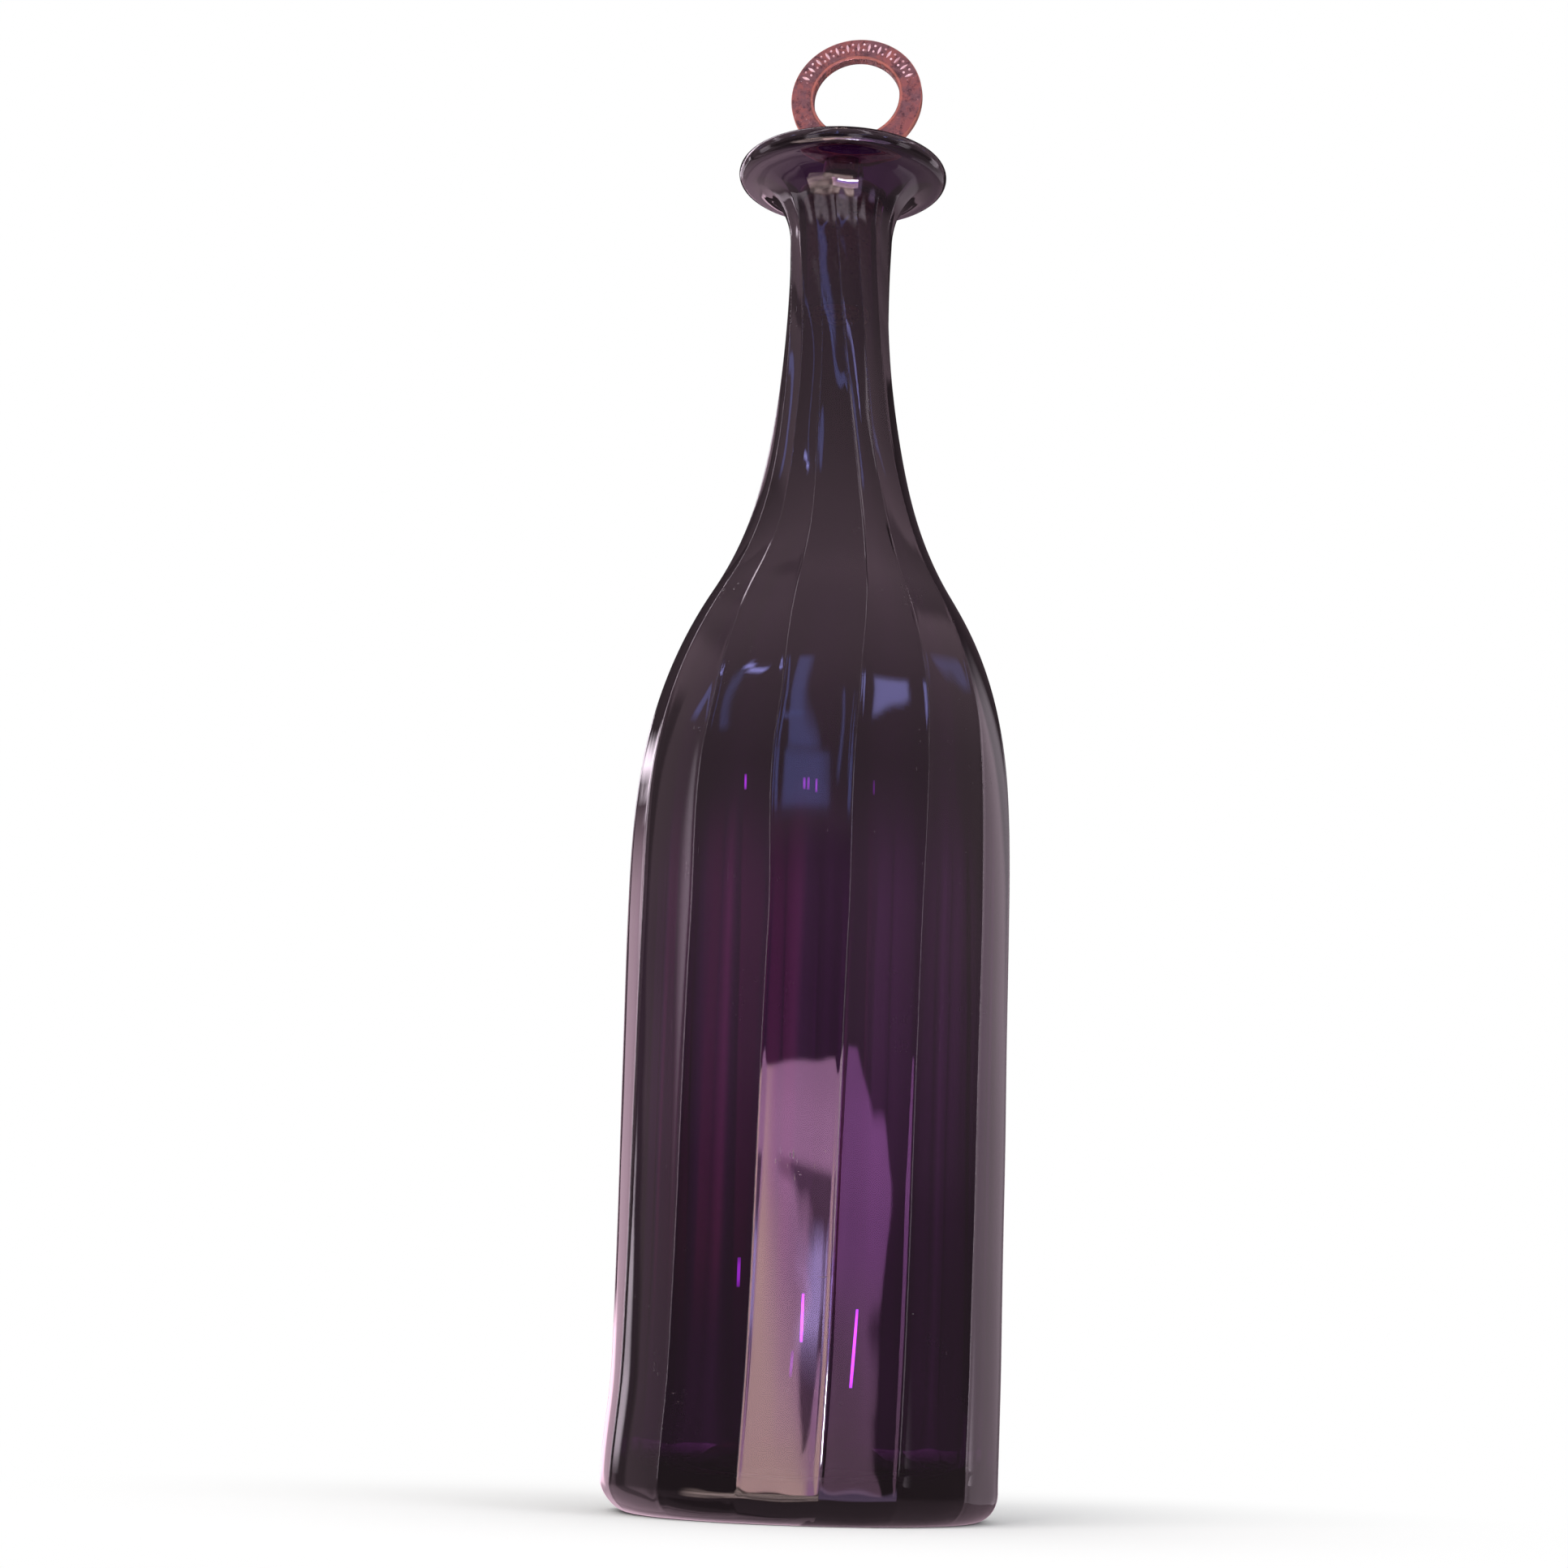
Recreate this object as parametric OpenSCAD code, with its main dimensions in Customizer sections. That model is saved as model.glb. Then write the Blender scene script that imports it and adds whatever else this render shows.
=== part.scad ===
// Fluted glass bottle with a cork stopper and a flat ring handle.
// The foot stands on z = 0, the bottle's axis is Z and the front is -Y.
// All sizes are millimetres and all angles are degrees.

/* [Bottle outline] */
// Height of the glass from its foot to the crown of the lip
bottle_h = 300; // [290:1:320]
// Largest diameter of the body, over the ridges
body_d = 82.4; // [78:0.1:88]
// Height of the largest diameter
body_z = 121; // [105:1:135]
// Diameter of the slight waist low on the body
waist_d = 82; // [76:0.1:84]
// Height of the waist
waist_z = 38; // [28:1:60]
// Diameter just above the rounded heel
heel_d = 82.4; // [77:0.1:85]
// Radius of the rounded heel
heel_round = 6; // [4:0.5:9]
// Diameter of the shoulder where it slopes most
shoulder_d = 53.4; // [46:0.2:58]
// Height of that point of the shoulder
shoulder_z = 197; // [188:1:204]
// Slope of the shoulder there, as radius lost for each millimetre of height
shoulder_slope = 0.6; // [0.45:0.05:0.75]
// Diameter of the throat, where the shoulder has become the neck
throat_d = 30.4; // [27:0.2:34]
// Distance of the throat below the crown of the lip
throat_drop = 71; // [64:1:78]
// Slope of the throat, as radius lost for each millimetre of height
throat_slope = 0.19; // [0.1:0.01:0.28]
// Diameter of the neck at its slimmest
neck_d = 22.8; // [21.4:0.1:25]
// Distance of the slimmest point below the crown of the lip
neck_drop = 27; // [24:1:32]

/* [Lip] */
// Outer diameter of the lip
lip_d = 47.5; // [42:0.1:54]
// Thickness of the rounded edge of the lip
lip_edge = 4.8; // [3.6:0.1:6]
// Width of the small flat crown on top of the lip
lip_crown = 0.35; // [0.25:0.05:0.8]
// Diameter of the neck where the flare of the lip starts
flare_d = 23.2; // [21.8:0.1:26]
// Distance of the start of the flare below the crown
flare_drop = 19; // [16:0.5:21]
// Angle of the rounded edge at which the flare runs into it
flare_meet = 10; // [0:1:25]

/* [Flutes] */
// Number of flutes round the bottle
flutes = 15; // [12:1:18]
// Depth of a flute below its ridges on the body
body_flute = 0.6; // [0.4:0.1:1.6]
// Depth of a flute on the neck
neck_flute = 0.3; // [0.2:0.05:0.6]
// Points that draw each flute, its first ridge included
flute_points = 3; // [2:1:4]
// Turn of the ridges at the foot, to the right seen from the front
foot_turn = 2.3; // [-12:0.1:12]
// Turn of the ridges at the top of the body
body_turn = 9.6; // [-12:0.1:16]
// Height at which the ridges start to lean faster
lean_z = 170; // [150:1:185]
// Turn of the ridges at the upper shoulder, where they lean back
shoulder_turn = 17; // [4:0.5:24]
// Height of that point
lean_back_z = 212; // [205:1:225]
// Turn of the ridges at the lip
lip_turn = -14; // [-24:0.5:4]

/* [Glass thickness and base] */
// Thickness of the glass behind the flutes of the body
wall = 2.6; // [2:0.1:3.2]
// Thickness of the glass where the shoulder narrows to the neck
neck_wall = 4.2; // [3:0.1:4.6]
// Thickness of the glass at the foot
base_t = 6; // [4:0.5:9]
// Radius between the floor and the wall, inside
floor_round = 7; // [3:0.5:9]
// Diameter of the pushed-up hollow under the base
kick_d = 48; // [40:1:52]
// Height of the pushed-up hollow
kick_h = 11; // [6:0.5:14]
// Diameter of the scar that the glassmaker's rod left in the hollow
pontil_d = 15; // [10:0.5:18]
// Thickness of the scar
pontil_t = 1; // [0.9:0.1:1.6]

/* [Bore and mouth] */
// Diameter of the straight bore that the cork fits
bore_d = 16.8; // [15.5:0.1:17.6]
// Length of the straight bore
bore_l = 26; // [22:0.5:30]
// Depth of the bell-shaped mouth above the bore
mouth_depth = 17.5; // [15:0.5:20]
// Part of a quarter ellipse that the mouth follows
mouth_sweep = 75; // [60:1:85]

/* [Cork] */
// Length of the cork
cork_l = 28; // [24:0.5:34]
// Distance of the cork's top below the crown of the lip
cork_drop = 8; // [7:0.5:9]
// Radial fit of the cork in the bore
cork_fit = 0.05; // [0.02:0.01:0.1]
// Chamfer on both ends of the cork
cork_chamfer = 0.8; // [0.3:0.1:1.5]

/* [Rod and washer] */
// Diameter of the rod through the cork
rod_d = 2.5; // [2:0.1:3]
// Radial fit of the rod in every piece it passes
rod_fit = 0.03; // [0.02:0.01:0.08]
// Length of the rod inside the socket
rod_in_socket = 4; // [2:0.5:5]
// Diameter of the rod's hammered end
rivet_d = 4.6; // [4.2:0.1:6]
// Height of the rod's hammered end
rivet_h = 1.3; // [0.8:0.1:2]
// Outer diameter of the washer under the cork
washer_d = 12; // [9:0.5:14]
// Thickness of the washer
washer_t = 0.9; // [0.6:0.1:1.5]

/* [Cap] */
// Diameter of the domed cap on the cork
cap_d = 19; // [17.4:0.1:20.2]
// Thickness of the cap at its edge
cap_edge = 1.1; // [0.8:0.1:1.6]
// Height of the cap at its middle
cap_h = 3.5; // [2.4:0.1:4.5]

/* [Socket] */
// Diameter of the socket's foot on the cap
socket_foot_d = 6.4; // [5.4:0.1:8]
// Thickness of the socket's foot
socket_foot_h = 1; // [0.6:0.1:1.6]
// Diameter of the socket's slim neck
socket_neck_d = 4.6; // [4.2:0.1:5.2]
// Height of the slim neck, with the curve above it
socket_neck_h = 2.6; // [1.6:0.1:4]
// Diameter of the slotted head that holds the ring
socket_head_d = 8.4; // [7:0.1:10]
// Thickness of the head under the ring
socket_floor = 3.3; // [2.4:0.1:4.5]
// Depth to which the head grips the ring
ring_grip = 3; // [2:0.1:3.6]

/* [Ring] */
// Outer diameter of the ring
ring_d = 30.4; // [26:0.2:34]
// Diameter of the finger hole in the ring
ring_hole_d = 20; // [16:0.2:21]
// Thickness of the ring
ring_t = 2.2; // [1.6:0.1:2.8]
// Fit of the ring in the socket's slot, brazed tight
ring_fit = 0.03; // [0.02:0.01:0.08]
// Width of the raised bead round the finger hole
bead_w = 0.8; // [0.5:0.1:1]
// Height of that bead over each face
bead_h = 0.2; // [0.1:0.05:0.35]
// Chamfer on the outer edges of the ring
ring_chamfer = 0.3; // [0.1:0.05:0.5]
// Distance of the ring's centre to the right of the axis
ring_shift = 2.5; // [0:0.1:2.6]
// Turn of the ring that brings its right side forward
ring_turn = 8; // [-30:1:30]
// Lean of the ring that takes its top back
ring_lean = 5; // [0:1:6]

/* [Hidden] */

glass_colour = [0.27, 0.16, 0.33];
cork_colour = [0.66, 0.47, 0.30];
copper_colour = [0.61, 0.40, 0.38];
brass_colour = [0.68, 0.56, 0.33];

// Facets of the true round surfaces
$fn = 96;
// How far cutting tools reach past the faces they cut
reach = 1;

// Heights that hang from the crown of the lip
throat_z = bottle_h - throat_drop;
neck_z = bottle_h - neck_drop;
flare_z = bottle_h - flare_drop;
flare_slope = (flare_d - neck_d) / (neck_drop - flare_drop);
mouth_z = bottle_h - mouth_depth;
bore_bottom = mouth_z - bore_l;
cork_top = bottle_h - cork_drop;
cork_bottom = cork_top - cork_l;
cap_top = cork_top + cap_h;
socket_neck_z = cap_top + socket_foot_h;
socket_head_z = socket_neck_z + socket_neck_h;
ring_bottom = socket_head_z + socket_floor;

// The outline of the glass passes these stations: height, radius, slope
OUTLINE = [
    [heel_round, heel_d / 2, 0],
    [waist_z, waist_d / 2, 0],
    [body_z, body_d / 2, 0],
    [shoulder_z, shoulder_d / 2, -shoulder_slope],
    [throat_z, throat_d / 2, -throat_slope],
    [neck_z, neck_d / 2, 0],
    [flare_z, flare_d / 2, flare_slope]
];
// Rings of the skin between one station and the next
OUTLINE_STEPS = [2, 4, 9, 6, 6, 2];
HEEL_STEPS = 4;
FLARE_STEPS = 7;
EDGE_STEPS = 6;

// The ridges turn through these stations: height, angle, slope
body_lean = (body_turn - foot_turn) / lean_z;
TURNS = [
    [0, foot_turn, body_lean],
    [lean_z, body_turn, 2 * body_lean],
    [lean_back_z, shoulder_turn, 0],
    [bottle_h, lip_turn, 1.25 * (lip_turn - shoulder_turn) / (bottle_h - lean_back_z)]
];

// Value at z of the smooth curve from station a to station b
function blend(a, b, z) =
    let (
        span = b[0] - a[0],
        t = (z - a[0]) / span
    )
    (2 * t^3 - 3 * t^2 + 1) * a[1]
    + (t^3 - 2 * t^2 + t) * span * a[2]
    + (3 * t^2 - 2 * t^3) * b[1]
    + (t^3 - t^2) * span * b[2];

// Value at z of the smooth curve through a list of stations
function along(stations, z, i = 0) =
    i == len(stations) - 2 || z <= stations[i + 1][0]
        ? blend(stations[i], stations[i + 1], z)
        : along(stations, z, i + 1);

// Radius over the ridges at height z of body and neck
function ridge_r(z) = along(OUTLINE, z);
// Size at height z that has one value on the neck and another on the body
function neck_to_body(neck_value, body_value, z) =
    let (share = (ridge_r(z) - neck_d / 2) / (body_d / 2 - neck_d / 2))
    neck_value + (body_value - neck_value) * share;
function flute_depth(z) = neck_to_body(neck_flute, body_flute, z);

// Heights of the rings between the heel and the flare
outline_heights = [
    for (s = [0 : len(OUTLINE_STEPS) - 1], k = [1 : OUTLINE_STEPS[s]])
        OUTLINE[s][0] + (OUTLINE[s + 1][0] - OUTLINE[s][0]) * k / OUTLINE_STEPS[s]
];

// Rounded edge of the lip, and where the flare runs into it
edge_r = lip_edge / 2;
edge_ring_r = lip_d / 2 - edge_r;
edge_z = bottle_h - edge_r;
flare_end_r = edge_ring_r + edge_r * sin(flare_meet);
flare_end_z = edge_z - edge_r * cos(flare_meet);

// Rings of the skin: height, radius over the ridges, flute depth
heel_ring_r = heel_d / 2 - heel_round;
heel_rings = [
    for (k = [1 : HEEL_STEPS])
        let (a = 90 * k / HEEL_STEPS)
        [
            heel_round * (1 - cos(a)),
            heel_ring_r + heel_round * sin(a),
            flute_depth(heel_round) * k / HEEL_STEPS
        ]
];
// The first ring lies under the foot, on the line that the heel starts with
heel_lead = (heel_rings[0][1] - heel_ring_r) / heel_rings[0][0];
skirt_ring = [-reach, heel_ring_r - reach * heel_lead, 0];
outline_rings = [for (z = outline_heights) [z, ridge_r(z), flute_depth(z)]];
flare_rings = [
    for (k = [1 : FLARE_STEPS])
        let (a = 90 * k / FLARE_STEPS)
        [
            flare_z + (flare_end_z - flare_z) * sin(a),
            flare_end_r - (flare_end_r - flare_d / 2) * cos(a),
            neck_flute * (1 - k / FLARE_STEPS)
        ]
];
edge_rings = [
    for (k = [1 : EDGE_STEPS])
        let (a = flare_meet + (180 - flare_meet) * k / EDGE_STEPS)
        [edge_z - edge_r * cos(a), edge_ring_r + edge_r * sin(a), 0]
];
skin_rings = concat([skirt_ring], heel_rings, outline_rings, flare_rings, edge_rings);

// Hollow under the base: a ball of this radius and height cuts it
kick_r = (kick_d^2 / 4 + kick_h^2) / (2 * kick_h);
kick_z = kick_h - kick_r;

// The floor inside swells over that hollow, then runs flat to the corner
floor_r = kick_r + base_t;
floor_sweep = acos((base_t - kick_z) / floor_r);
floor_flat_r = floor_r * sin(floor_sweep);
FLOOR_STEPS = 8;
CORNER_STEPS = 5;
MOUTH_STEPS = 10;

function inside_r(z) = ridge_r(z) - flute_depth(z) - neck_to_body(neck_wall, wall, z);
corner_z = base_t + floor_round;
corner_r = min(floor_round, inside_r(corner_z) - floor_flat_r - 0.5);

floor_line = [
    for (k = [0 : FLOOR_STEPS])
        let (a = floor_sweep * k / FLOOR_STEPS)
        [floor_r * sin(a), kick_z + floor_r * cos(a)]
];
corner_line = [
    for (k = [0 : CORNER_STEPS])
        let (a = 90 * k / CORNER_STEPS)
        [
            inside_r(corner_z) - corner_r * (1 - sin(a)),
            base_t + corner_r * (1 - cos(a))
        ]
];
wall_line = [
    for (z = outline_heights)
        if (z > corner_z + 1 && z < bore_bottom - 3)
            [max(inside_r(z), bore_d / 2 + 0.1), z]
];
// The mouth opens from the bore to the crown along part of an ellipse
mouth_end_r = edge_ring_r - lip_crown;
mouth_r = (mouth_end_r - bore_d / 2 * cos(mouth_sweep)) / (1 - cos(mouth_sweep));
mouth_rise = mouth_depth / sin(mouth_sweep);
mouth_line = [
    for (k = [0 : MOUTH_STEPS])
        let (a = mouth_sweep * k / MOUTH_STEPS)
        [mouth_r - (mouth_r - bore_d / 2) * cos(a), mouth_z + mouth_rise * sin(a)]
];
inside_line = concat(
    floor_line,
    corner_line,
    wall_line,
    [[bore_d / 2, bore_bottom]],
    mouth_line,
    [[mouth_end_r, bottle_h + reach], [0, bottle_h + reach]]
);

// Angle of point j of a ring at height z, with the first ridge at the front
function point_angle(j, z) =
    360 * j / (flutes * flute_points) + along(TURNS, max(z, 0)) - 90;
// How deep point j lies in its flute: 0 on a ridge, 1 in the middle
function point_share(j) =
    let (across = 2 * (j % flute_points) / flute_points - 1)
    1 - across^2;

// Outside of the glass as one closed shell
module skin() {
    n = flutes * flute_points;
    last = len(skin_rings) - 1;
    points = [
        for (ring = skin_rings, j = [0 : n - 1])
            let (
                a = point_angle(j, ring[0]),
                r = ring[1] - ring[2] * point_share(j)
            )
            [r * cos(a), r * sin(a), ring[0]]
    ];
    sides = [
        for (i = [0 : last - 1], j = [0 : n - 1])
            let (
                low = i * n + j,
                low_next = i * n + (j + 1) % n
            )
            each [[low, low + n, low_next + n], [low, low_next + n, low_next]]
    ];
    foot = [for (j = [0 : n - 1]) j];
    crown = [for (j = [n - 1 : -1 : 0]) last * n + j];
    polyhedron(points, concat(sides, [foot, crown]));
}

module glass_bottle() {
    color(glass_colour)
        union() {
            difference() {
                skin();
                // Flat foot
                translate([0, 0, -2 * reach])
                    cylinder(d = 2 * body_d, h = 2 * reach);
                // Hollow under the base
                translate([0, 0, kick_z])
                    sphere(r = kick_r);
                // Inside, bore and mouth
                rotate_extrude()
                    polygon(inside_line);
            }
            // Scar of the glassmaker's rod
            translate([0, 0, kick_h - pontil_t])
                cylinder(d = pontil_d, h = pontil_t + base_t / 2);
        }
}

// Upright hole for the rod, from height low to height high
module rod_hole(low, high) {
    translate([0, 0, low])
        cylinder(d = rod_d + 2 * rod_fit, h = high - low, $fn = 48);
}

module cork() {
    r = bore_d / 2 - cork_fit;
    color(cork_colour)
        difference() {
            rotate_extrude()
                polygon([
                    [0, cork_bottom],
                    [r - cork_chamfer, cork_bottom],
                    [r, cork_bottom + cork_chamfer],
                    [r, cork_top - cork_chamfer],
                    [r - cork_chamfer, cork_top],
                    [0, cork_top]
                ]);
            rod_hole(cork_bottom - reach, cork_top + reach);
        }
}

module cap() {
    // The dome is an arc from the rim to the flat seat of the socket
    seat_r = socket_foot_d / 2 + 0.3;
    run = cap_d / 2 - seat_r;
    rise = cap_h - cap_edge;
    dome = [
        for (k = [0 : 8])
            let (a = 90 * k / 8)
            [seat_r + run * cos(a), cork_top + cap_edge + rise * sin(a)]
    ];
    color(copper_colour)
        difference() {
            rotate_extrude()
                polygon(concat([[0, cork_top], [cap_d / 2, cork_top]], dome, [[0, cap_top]]));
            rod_hole(cork_top - reach, cap_top + reach);
        }
}

module washer() {
    color(brass_colour)
        difference() {
            translate([0, 0, cork_bottom - washer_t])
                cylinder(d = washer_d, h = washer_t);
            rod_hole(cork_bottom - washer_t - reach, cork_bottom + reach);
        }
}

module rod() {
    rivet_z = cork_bottom - washer_t;
    color(brass_colour)
        union() {
            translate([0, 0, rivet_z - rivet_h / 2])
                cylinder(d = rod_d, h = cap_top + rod_in_socket - rivet_z + rivet_h / 2, $fn = 48);
            // Hammered end, domed by an arc
            rotate_extrude()
                polygon(concat(
                    [[0, rivet_z]],
                    [
                        for (k = [0 : 6])
                            let (a = 90 * k / 6)
                            [rivet_d / 2 * cos(a), rivet_z - rivet_h * sin(a)]
                    ]
                ));
        }
}

// Stands a shape drawn flat round the ring's centre up as the ring stands
module ring_place() {
    rotate([0, 0, -ring_turn])
        translate([ring_shift, 0, ring_bottom])
            rotate([90 - ring_lean, 0, 0])
                translate([0, ring_d / 2, 0])
                    children();
}

module socket() {
    head_top = ring_bottom + ring_grip;
    // A cove leads from the slim neck to the head
    cove = (socket_head_d - socket_neck_d) / 2;
    cove_z = socket_head_z - cove;
    cove_line = [
        for (k = [0 : 6])
            let (a = 90 * k / 6)
            [socket_head_d / 2 - cove * cos(a), cove_z + cove * sin(a)]
    ];
    color(copper_colour)
        difference() {
            rotate_extrude()
                polygon(concat(
                    [
                        [0, cap_top],
                        [socket_foot_d / 2, cap_top],
                        [socket_foot_d / 2, socket_neck_z],
                        [socket_neck_d / 2, socket_neck_z]
                    ],
                    cove_line,
                    [
                        [socket_head_d / 2, head_top - 0.6],
                        [socket_head_d / 2 - 0.6, head_top],
                        [0, head_top]
                    ]
                ));
            rod_hole(cap_top - reach, cap_top + rod_in_socket + rod_fit);
            // Slot cut to the ring's own edge
            ring_place()
                translate([0, 0, -ring_t / 2 - ring_fit])
                    cylinder(d = ring_d + 2 * ring_fit, h = ring_t + 2 * ring_fit);
        }
}

module ring_handle() {
    half = ring_t / 2;
    hole_r = ring_hole_d / 2;
    color(copper_colour)
        ring_place()
            rotate_extrude()
                polygon([
                    [hole_r, -half - bead_h],
                    [hole_r + bead_w, -half - bead_h],
                    [hole_r + bead_w + bead_h, -half],
                    [ring_d / 2 - ring_chamfer, -half],
                    [ring_d / 2, -half + ring_chamfer],
                    [ring_d / 2, half - ring_chamfer],
                    [ring_d / 2 - ring_chamfer, half],
                    [hole_r + bead_w + bead_h, half],
                    [hole_r + bead_w, half + bead_h],
                    [hole_r, half + bead_h]
                ]);
}

glass_bottle();
cork();
cap();
rod();
washer();
socket();
ring_handle();
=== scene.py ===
"""Looks of a fluted amethyst bottle with a cork and ring stopper.

Lengths are in metres and angles in degrees, except where a comment says millimetres.
"""

import math

import bpy
import numpy as np
from mathutils import Matrix, Vector


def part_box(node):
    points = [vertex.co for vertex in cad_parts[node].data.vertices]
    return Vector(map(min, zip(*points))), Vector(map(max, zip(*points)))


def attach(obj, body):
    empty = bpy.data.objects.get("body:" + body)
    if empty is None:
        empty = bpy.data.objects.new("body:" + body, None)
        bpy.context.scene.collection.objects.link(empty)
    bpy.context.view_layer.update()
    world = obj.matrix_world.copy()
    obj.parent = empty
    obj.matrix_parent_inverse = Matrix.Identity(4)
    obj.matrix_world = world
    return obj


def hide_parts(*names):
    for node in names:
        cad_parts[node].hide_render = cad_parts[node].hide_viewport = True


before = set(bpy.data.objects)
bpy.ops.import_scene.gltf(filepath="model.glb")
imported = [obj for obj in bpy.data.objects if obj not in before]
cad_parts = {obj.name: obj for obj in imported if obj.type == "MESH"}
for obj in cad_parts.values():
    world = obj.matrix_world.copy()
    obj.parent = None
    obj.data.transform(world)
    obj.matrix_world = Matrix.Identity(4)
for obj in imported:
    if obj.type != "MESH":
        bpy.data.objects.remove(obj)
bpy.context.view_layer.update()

MM = 0.001


# ---------------------------------------------------------------- sizes

# The crown of the lip, and what hangs from it
BOTTLE_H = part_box("glass_bottle")[1].z
THROAT_Z = BOTTLE_H - 71 * MM
NECK_Z = BOTTLE_H - 27 * MM
FLARE_Z = BOTTLE_H - 19 * MM
MOUTH_Z = BOTTLE_H - 17.5 * MM
BORE_BOTTOM = MOUTH_Z - 26 * MM

# Outline of the glass over its ridges: height, radius, slope
HEEL_ROUND = 6 * MM
OUTLINE = (
    (HEEL_ROUND, 41.2 * MM, 0),
    (38 * MM, 41 * MM, 0),
    (121 * MM, 41.2 * MM, 0),
    (197 * MM, 26.7 * MM, -0.6),
    (THROAT_Z, 15.2 * MM, -0.19),
    (NECK_Z, 11.4 * MM, 0),
    (FLARE_Z, 11.6 * MM, 0.03),
)
OUTLINE_RINGS = (14, 30, 54, 26, 22, 6)
LIP_R = 23.75 * MM
LIP_EDGE_R = 2.4 * MM
LIP_CROWN = 0.35 * MM
FLARE_MEET = 10

# Flutes: how many, how deep, and how their ridges turn with height
FLUTES = 15
BODY_FLUTE = 0.6 * MM
NECK_FLUTE = 0.3 * MM
# The pinched rib along each ridge: height and half width on the body and on the neck
BODY_RIB = (0.12 * MM, 0.7 * MM)
NECK_RIB = (0.05 * MM, 0.3 * MM)
# How far some ridges stray from their even places, on the body and round the upper shoulder:
# ridge number, degrees
BODY_STRAY = {12: 2, 13: 2, 14: 3.1, 0: 1.6, 2: 1.5}
SHOULDER_STRAY = {14: -7.5, 13: -5, 1: -6.5, 2: -7}
# Heights over which those strays come and go
BODY_STRAY_GOES = (118 * MM, 158 * MM)
SHOULDER_STRAY_COMES = (165 * MM, 205 * MM)
SHOULDER_STRAY_GOES = (228 * MM, 258 * MM)
# Every ridge and flute is a little uneven: degrees, and share of its depth
RIDGE_UNEVEN = 0.8
DEPTH_UNEVEN = 0.14
BODY_LEAN = 7.3 / 0.17
TURNS = (
    (0, 2.3, BODY_LEAN),
    (170 * MM, 9.6, 2 * BODY_LEAN),
    (212 * MM, 17, 0),
    (BOTTLE_H, -14, -1.25 * 31 / 0.088),
)
FLUTE_POINTS = 32

# Inside of the glass and its base
WALL = 2.6 * MM
NECK_WALL = 4.2 * MM
BASE_T = 6 * MM
FLOOR_ROUND = 7 * MM
KICK_H = 11 * MM
KICK_R = 24 * MM
PONTIL_R = 7.5 * MM
PONTIL_T = 1 * MM
PONTIL_RIM = 0.25 * MM
PONTIL_ROUGH = 0.35 * MM
# The ball whose cap is the hollow under the base
KICK_BALL_R = (KICK_R**2 + KICK_H**2) / (2 * KICK_H)
BORE_R = 8.4 * MM
MOUTH_SWEEP = 75

# How far the hand-blown outside strays from its true outline
HEEL_SAG = 0.9 * MM
WAVE = 0.1 * MM
WAVE_LENGTH = 16 * MM
INNER_RIPPLE = 0.22 * MM

# Axis of the hand-blown glass: height, drift to the right, slope
DRIFT = (
    (0, 0.2 * MM, 0),
    (35 * MM, 0.6 * MM, 0),
    (138 * MM, 0, 0),
    (198 * MM, 0.7 * MM, 0),
    (BORE_BOTTOM, 0, 0),
    (BOTTLE_H, 0, 0),
)

# The ring, upright over the lip
RING_R = 15.2 * MM
RING_HOLE_R = 10 * MM
RING_T = 2.2 * MM
RING_BOTTOM = BOTTLE_H + 2.4 * MM
RING_TURN = 8
RING_LEAN = 5
RING_SHIFT = 2.5 * MM
BEAD_W = 0.8 * MM
BEAD_H = 0.2 * MM
BEAD_EASE = 0.15 * MM
RING_EDGE_ROUND = 0.3 * MM
RING_STEPS = 720
RING_WEAR = 0.02 * MM
# How far the worn face stops short of the bead and of the rounded edge
FACE_MARGIN = 0.05 * MM
# The rubbed bead and rim: half width, and how much brighter edges show
RUBBED_W = 0.3 * MM
RUBBED = 0.45

# The ring's bright-cut border: degrees from leaf to leaf and to its ends, how far it lies outside
# the middle of the face, the depth of its cuts, and the sizes of a leaf and a dot
ORNAMENT_PITCH = 11.0
ORNAMENT_REACH = 71
ORNAMENT_SHIFT = 0.15 * MM
ORNAMENT_DEPTH = 0.22 * MM
LEAF_H = 1.25 * MM
LEAF_W = 0.42 * MM
DOT_R = 0.33 * MM
DOT_OFF = 0.75 * MM

# The camera of the photograph
IMAGE = 1932
SENSOR = 36
FOCAL_PX = 3400
AXIS_PX = 1014.4
CAMERA_Y = -0.59097
CAMERA_Z = 0.02994
CAMERA_TILT = 11.97
CAMERA_ROLL = 1.85


# ---------------------------------------------------------------- curves


def sin_d(angle):
    return np.sin(np.radians(angle))


def cos_d(angle):
    return np.cos(np.radians(angle))


def blend(a, b, z):
    """Value at z of the smooth curve from station a to station b."""
    span = b[0] - a[0]
    t = (z - a[0]) / span
    value = (2 * t**3 - 3 * t**2 + 1) * a[1] + (3 * t**2 - 2 * t**3) * b[1]
    return value + span * ((t**3 - 2 * t**2 + t) * a[2] + (t**3 - t**2) * b[2])


def along(stations, z):
    """Value at each z of the smooth curve through the stations."""
    z = np.asarray(z, float)
    value = blend(stations[0], stations[1], z)
    for a, b in zip(stations[1:], stations[2:]):
        value = np.where(z > a[0], blend(a, b, z), value)
    return value


def smooth_step(low, high, value):
    t = np.clip((np.asarray(value, float) - low) / (high - low), 0, 1)
    return t * t * (3 - 2 * t)


def ripple(x, y, z, scale, seed):
    """Gentle wandering value from -1 to 1, from a few crossed waves."""
    total = 0
    for k in range(5):
        a, b, c = (math.sin(seed * 3.1 + k * 1.7 + i * 2.3) for i in range(3))
        total = total + np.sin((a * x + b * y + c * z) * (1 + 0.4 * k) / scale + seed + k)
    return total / 5


# ---------------------------------------------------------------- glass


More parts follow.
